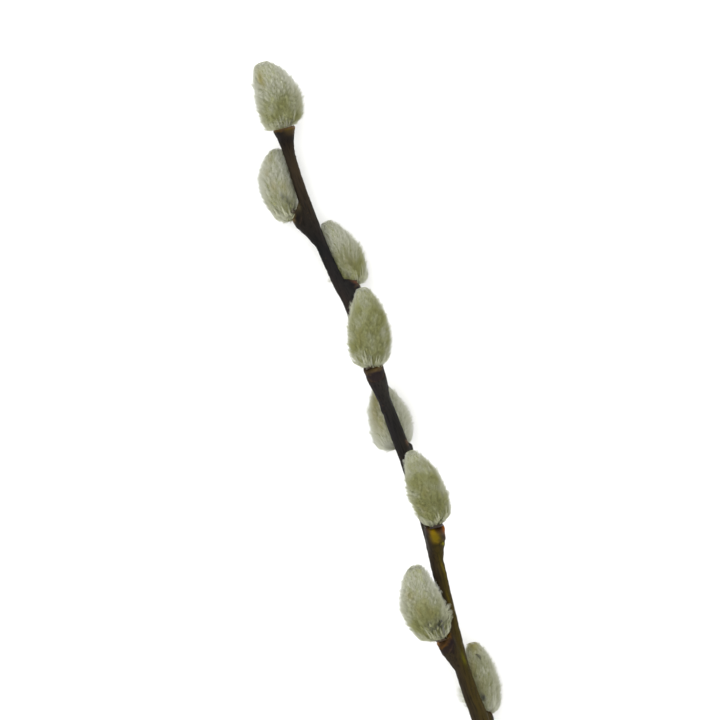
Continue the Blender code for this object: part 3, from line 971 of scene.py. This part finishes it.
def scatter_hairs(number, body, rng):
    """Roots and tips of the straight hairs, as share, turn and reach."""
    home = np.arange(HAIRS) % TUFTS
    tuft_share = spread_of_length(body, TUFTS)
    tuft_turn = np.arange(TUFTS) * GOLDEN_ANGLE + rng.normal(0, TUFT_TURN, TUFTS)
    proud = rng.normal(TUFT_RISE, TUFT_RISE_SPREAD, TUFTS)
    proud += PROUD_RISE * (rng.random(TUFTS) < PROUD_SHARE)
    for x, y, along, across, rise in STRAY_TUFTS.get(number, ()):
        proud += rise * near_spot(body, tuft_share, tuft_turn, x, y, along, across)
    lean = rng.normal(0.0, TUFT_LEAN, TUFTS)
    around = np.maximum(body.radius(tuft_share), LEAST_RADIUS)[home]
    tuft_share, tuft_turn, proud, lean = tuft_share[home], tuft_turn[home], proud[home], lean[home]
    loose = rng.random(HAIRS) < LOOSE_SHARE
    spread = np.where(loose, LOOSE_SPREAD, ROOT_SPREAD)
    share = np.abs(tuft_share + spread * rng.normal(0, 1, HAIRS) / body.length)
    share = np.minimum(share, LAST_ROOT)
    turn = tuft_turn + spread * rng.normal(0, 1, HAIRS) / around
    run = HAIR_RUN * np.clip(rng.normal(1.0, SIZE_SPREAD, HAIRS), *RUN_RANGE)
    tip_share = tuft_share + TIP_SPREAD * rng.normal(0, 1, HAIRS) / body.length
    tip_share = np.where(loose, share, tip_share) + run / body.length
    tip_share -= TIP_HOLD * np.maximum(tip_share - LAST_FREE_TIP, 0)
    tip_turn = tuft_turn + (lean + TIP_SPREAD * rng.normal(0, 1, HAIRS)) / around
    tip_turn = np.where(loose, turn, tip_turn)
    below = np.abs(rng.normal(0, 1, HAIRS))
    tip_reach = body.radius(np.clip(tip_share, *TIP_ENDS), tip_turn)
    tip_reach += np.where(loose, -LOOSE_SINK - LOOSE_DEPTH * below, proud - TUFT_DEPTH * below)
    root_reach = body.radius(share) * CORE_SHARE * ROOT_DEPTH
    return share, turn, root_reach, tip_share, tip_turn, np.maximum(tip_reach, 0.05)


def scatter_skirt(body, rng):
    """Roots and tips of the skirt's hairs, in the same way."""
    home = rng.integers(0, SKIRT_TUFTS, SKIRT_HAIRS)
    turn = (home + rng.normal(0, SKIRT_ROOT_TURN, SKIRT_HAIRS)) * 2 * math.pi / SKIRT_TUFTS
    share = rng.uniform(*SKIRT_ROOTS, SKIRT_HAIRS)
    tuft_tip = rng.uniform(*SKIRT_TIPS, SKIRT_TUFTS)[home]
    tip_share = tuft_tip + rng.normal(0, SKIRT_TIP_SPREAD, SKIRT_HAIRS)
    tip_share = np.maximum(tip_share, SKIRT_TIPS[0])
    tip_turn = (home + rng.normal(0, SKIRT_TIP_TURN, SKIRT_HAIRS)) * 2 * math.pi / SKIRT_TUFTS
    tip_reach = body.radius(np.maximum(tip_share, 0.03), tip_turn)
    tip_reach += rng.normal(SKIRT_RISE, SKIRT_RISE_SPREAD, SKIRT_HAIRS)
    root_reach = rng.uniform(*SKIRT_ROOT_REACH, SKIRT_HAIRS)
    return share, turn, root_reach, tip_share, tip_turn, tip_reach


def hair_tone(number, body, share, turn, places):
    """How green, how yellow and how dark the hairs at each place are."""
    fade = np.clip((body.catkin.olive_to + OLIVE_OVERRUN - share) / OLIVE_FADE, 0, 1)
    # Green on top and less below, as the photograph's light shows it
    # The upper side's deeper olive is painted shade: the darker core seen through the coat from
    # above
    painted_top_shade = np.clip(0.45 + 0.62 * body.spokes(turn)[:, 2], 0.2, 1)
    olive = body.catkin.olive * fade**2 * (3 - 2 * fade) * painted_top_shade
    olive *= 0.55 + 0.9 * patches(places, OLIVE_PATCH)
    yellow, dark = np.zeros(len(share)), np.zeros(len(share))
    for x, y, along, across, how_yellow, how_dark in HAIR_SPOTS[number]:
        near = near_spot(body, share, turn, x, y, along, across)
        yellow = np.maximum(yellow, near * how_yellow)
        dark = np.maximum(dark, near * how_dark)
    return np.column_stack([np.clip(olive, 0, 1), yellow, dark])


def lay_hairs(name, number, body, rng, pattern, laid, radius, pale, root_shift=0.0):
    """Copies of a hair between the given roots and tips, painted."""
    share, turn, root_reach, tip_share, tip_turn, tip_reach = laid
    bend_share = share + (tip_share - share) * BEND_PLACE
    bend_reach = root_reach * BEND_PLACE + tip_reach * (1 - BEND_PLACE)
    roots, sunk = kept_clear(body, body.place(share, turn, root_reach) + root_shift)
    tips, _ = kept_clear(body, body.place(tip_share, tip_turn, tip_reach))
    bends, _ = kept_clear(body, body.place(bend_share, turn, bend_reach))
    kept = sunk < DEEPEST_ROOT
    share = (share + (tip_share - share) * TONE_PLACE)[kept]
    turn = (turn + (tip_turn - turn) * TONE_PLACE)[kept]
    lines = (roots[kept], bends[kept], tips[kept])
    width = radius * np.clip(rng.normal(1.0, SIZE_SPREAD, len(share)), *RADIUS_RANGE)
    spin = rng.uniform(0, math.pi, len(share))
    strand = pale + (1 - pale) * pattern[0][:, 2]
    tone = hair_tone(number, body, share, turn, lines[-1])
    tone[:, 0] *= 1 - 0.8 * pale
    return lay_copies(name, pattern, lines, width, spin, body.spokes(turn), strand, tone)


def hair_coat(number, body, needle, bent_needle):
    rng = np.random.default_rng(HAIR_SEED + number)
    laid = scatter_hairs(number, body, rng)
    coat = lay_hairs(f"hair_{number}", number, body, rng, needle, laid, HAIR_RADIUS, 0.0)
    laid = scatter_skirt(body, rng)
    shift = (body.seat - body.base) * SKIRT_SHIFT
    looks = (SKIRT_RADIUS, SKIRT_PALE, shift)
    skirt = lay_hairs(f"skirt_{number}", number, body, rng, bent_needle, laid, *looks)
    return join(coat, skirt)


def flower_core(body):
    """The egg-shaped body under the hair."""
    bpy.ops.mesh.primitive_uv_sphere_add(segments=40, ring_count=28, radius=MM)
    core = bpy.context.object
    ball = points_of(core)
    share = CORE_START + CORE_SPAN * (ball[:, 2] + 1) / 2
    turn = np.arctan2(ball[:, 1], ball[:, 0])
    across = np.linalg.norm(ball[:, :2], axis=1)
    reach = np.where(across > 0.01, body.radius(share) * CORE_SHARE, 0.0)
    points, _ = kept_clear(body, body.place(share, turn, reach))
    set_points(core, points)
    paint(core, "strand", np.zeros(len(points)))
    paint(core, "tone", np.tile([1.0, 0.0, 0.0], (len(points), 1)))
    return core


def catkin_stalk(body):
    """The short, woody stalk that carries the body, from its seat to inside the core."""
    start = body.seat + body.facing * WOOD_CLEARANCE
    end = body.base + body.axis * STALK_END
    places = (start, start * 0.5 + end * 0.5, end)
    knots = [[*place, body.catkin.seat * size] for place, size in zip(places, STALK_TAPER)]
    stalk = add_tube("stalk", np.array(knots))
    paint(stalk, "tint", np.full(len(stalk.data.vertices), STALK_TINT))
    return stalk


def bract_rows(number, body, pattern):
    """The bracts near the catkin's foot, whose dark tips stand out of the hair beside the stem."""
    shares = spread_of_length(body, BRACT_SPOTS)[:BRACTS]
    rng = np.random.default_rng(BRACT_SEED + number)
    turn = np.arange(BRACTS) * GOLDEN_ANGLE + rng.normal(0, BRACT_TURN, BRACTS)
    spokes = body.spokes(turn)
    # Shown on the upper side next to the stem, a seventh of the way up
    beside_stem = unit(UP - 0.9 * body.outward * (1, 1, 0))
    shown = grown(spokes @ beside_stem, 0.6, 0.2) * bell(shares, 0.15, 0.09)
    shown *= body.catkin.dark * rng.uniform(0.4, 1.0, BRACTS)
    tip_share = shares + (BRACT_RUN + BRACT_SHOWN_RUN * shown) / body.length
    bend_share = (shares + tip_share) / 2
    lift = BRACT_LIFT + BRACT_SHOWN_LIFT * shown
    root_reach = body.radius(shares) * CORE_SHARE * 0.95
    roots, _ = kept_clear(body, body.place(shares, turn, root_reach))
    tips, _ = kept_clear(body, body.place(tip_share, turn, body.radius(tip_share) * lift))
    bends, _ = kept_clear(body, body.place(bend_share, turn, body.radius(bend_share) * lift))
    width, spin = np.full(BRACTS, BRACT_WIDTH), np.zeros(BRACTS)
    strand, tone = pattern[0][:, 2], np.column_stack([1 - shown, 0 * shown, 0 * shown])
    lines = (roots, bends, tips)
    return lay_copies(f"bracts_{number}", pattern, lines, width, spin, spokes, strand, tone)


def hair_fleck(body, pattern):
    """The dark fleck, a loose bit of bract, on the hair of catkin 8."""
    share, turn = np.array([spot_on(body, x, y) for x, y in FLECK]).T
    places = body.place(share, turn, body.radius(share, turn) + FLECK_LIFT)
    middle = places.mean(axis=0, keepdims=True) + UP * FLECK_LIFT + RIGHT * FLECK_BOW
    lines = (places[:1], middle, places[1:])
    width, spin, spokes = np.array([FLECK_WIDTH]), np.zeros(1), body.spokes(turn[:1])
    strand, tone = np.full(len(pattern[0]), FLECK_STRAND), np.zeros((1, 3))
    return lay_copies("fleck", pattern, lines, width, spin, spokes, strand, tone)


def build_catkin(number, catkin, materials, needles, spoon):
    body = Body(catkin)
    hair, flower, husk = materials
    coat = hair_coat(number, body, *needles)
    stalk = catkin_stalk(body)
    inner = [flower_core(body), bract_rows(number, body, spoon)]
    if number == len(CATKINS):
        inner.append(hair_fleck(body, spoon))
    coat.data.materials.append(hair)
    stalk.data.materials.append(husk)
    for part in inner:
        part.data.materials.append(flower)
    piece = join(coat, *inner, stalk)
    piece.name = f"silky_catkin_{number}"
    piece.data.shade_smooth()
    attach(piece, "root")
    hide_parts(f"catkin_{number}")


# How orange each bud scale is, from the tip down
SCALE_TINTS = (0.7, 0.4, 0.5, 0.35, 0.4, 0.15, 0.45, 0.4)
SCALE_SPAN = math.radians(170)
SCALE_THICKNESS = 0.22
# It stands from behind the seat's plane to in front of it, less so at its ends, which sink into
# the rim, and its edge is ragged in waves of these paces
SCALE_BACK, SCALE_HEIGHT, SCALE_FALL = -0.55, 0.90, 0.55
SCALE_RAGGED, SCALE_WAVES = 0.12, (3, 7, 13)


def build_bud_scale(number, catkin, husk):
    """What is left of the bud's cap: a thin, ragged collar round the outer side of the seat."""
    rng = np.random.default_rng(SCALE_SEED + number)
    seat, facing, outward = seat_of(catkin)
    bpy.ops.mesh.primitive_grid_add(x_subdivisions=40, y_subdivisions=5, size=2 * MM)
    collar = bpy.context.object
    collar.name = f"bud_scale_rest_{number}"
    sheet = points_of(collar)
    end = np.abs(sheet[:, 0])
    turn = sheet[:, 0] * SCALE_SPAN / 2
    rise = np.clip((sheet[:, 1] + 1) / 2, 0, 1)
    starts = rng.uniform(0, 2 * math.pi, len(SCALE_WAVES))
    waves = zip(SCALE_WAVES, starts)
    ragged = sum(SCALE_RAGGED * np.cos(turn * pace + start) for pace, start in waves)
    height = SCALE_BACK + rise * (SCALE_HEIGHT + ragged - SCALE_FALL * end**3)
    reach = catkin.seat - 0.02 - 0.16 * rise**2 - 0.1 * end**4
    side = np.cross(facing, outward)
    spoke = np.cos(turn)[:, None] * outward + np.sin(turn)[:, None] * side
    set_points(collar, seat + spoke * reach[:, None] + facing * height[:, None])
    apply_modifier(collar, "SOLIDIFY", thickness=SCALE_THICKNESS * MM, offset=0.0)
    apply_modifier(collar, "SUBSURF", levels=1, render_levels=1)
    paint(collar, "tint", np.full(len(collar.data.vertices), SCALE_TINTS[number - 1]))
    collar.data.materials.append(husk)
    collar.data.shade_smooth()
    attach(collar, "root")
    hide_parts(f"bud_scale_{number}")


# The photograph's frame: 180 mm across, its middle over this point, its top to the branch's tip
VIEW_CENTRE = Vector((22.78, -0.07, 10.0)) * MM
VIEW_WIDTH = 180.0
VIEW_TURN = math.radians(-108.392)
CAMERA_HEIGHT = 1250.0
SENSOR_WIDTH = 36.0
SURROUND_STRENGTH = 1.35
LIGHT_PLACE = Vector((0.35, 0.25, 0.9))
LIGHT_SIZE, LIGHT_POWER = 1.0, 4.0


def add_camera():
    camera = bpy.data.cameras.new("camera")
    camera.sensor_width = SENSOR_WIDTH
    camera.lens = SENSOR_WIDTH * CAMERA_HEIGHT / VIEW_WIDTH
    holder = linked("camera", camera)
    holder.matrix_world = (
        Matrix.Translation(VIEW_CENTRE + Vector((0, 0, CAMERA_HEIGHT * MM)))
        @ Euler((0, 0, VIEW_TURN)).to_matrix().to_4x4()
    )
    bpy.context.scene.camera = holder


def add_studio():
    """A pale table, an even white surround and one large soft light."""
    bpy.ops.mesh.primitive_plane_add(size=8.0)
    table = bpy.context.object
    table.name = "studio_table"
    material, _, shader = new_material("white_table", Roughness=0.9, Specular_IOR_Level=0.0)
    shader.inputs["Base Color"].default_value = linear("#FCFCFB")
    table.data.materials.append(material)
    world = bpy.data.worlds.new("surround")
    bpy.context.scene.world = world
    world.use_nodes = True
    background = world.node_tree.nodes["Background"]
    background.inputs["Color"].default_value = linear("#FFFFFF")
    background.inputs["Strength"].default_value = SURROUND_STRENGTH
    lamp = bpy.data.lights.new("key", "AREA")
    lamp.size, lamp.energy = LIGHT_SIZE, LIGHT_POWER
    light = linked("key", lamp)
    light.location = LIGHT_PLACE
    light.rotation_euler = (VIEW_CENTRE - LIGHT_PLACE).to_track_quat("-Z", "Y").to_euler()
    bpy.context.scene.view_settings.view_transform = "Standard"


def main():
    bark, cut_wood = make_bark(), make_cut_wood()
    hair, flower, husk = make_hair(), make_flower(), make_bud_scale()
    build_stem(bark, cut_wood)
    needles, spoon = (hair_pattern(False), hair_pattern(True)), bract_pattern()
    for number, catkin in enumerate(CATKINS, 1):
        build_catkin(number, catkin, (hair, flower, husk), needles, spoon)
        build_bud_scale(number, catkin, husk)
    add_studio()
    add_camera()


main()
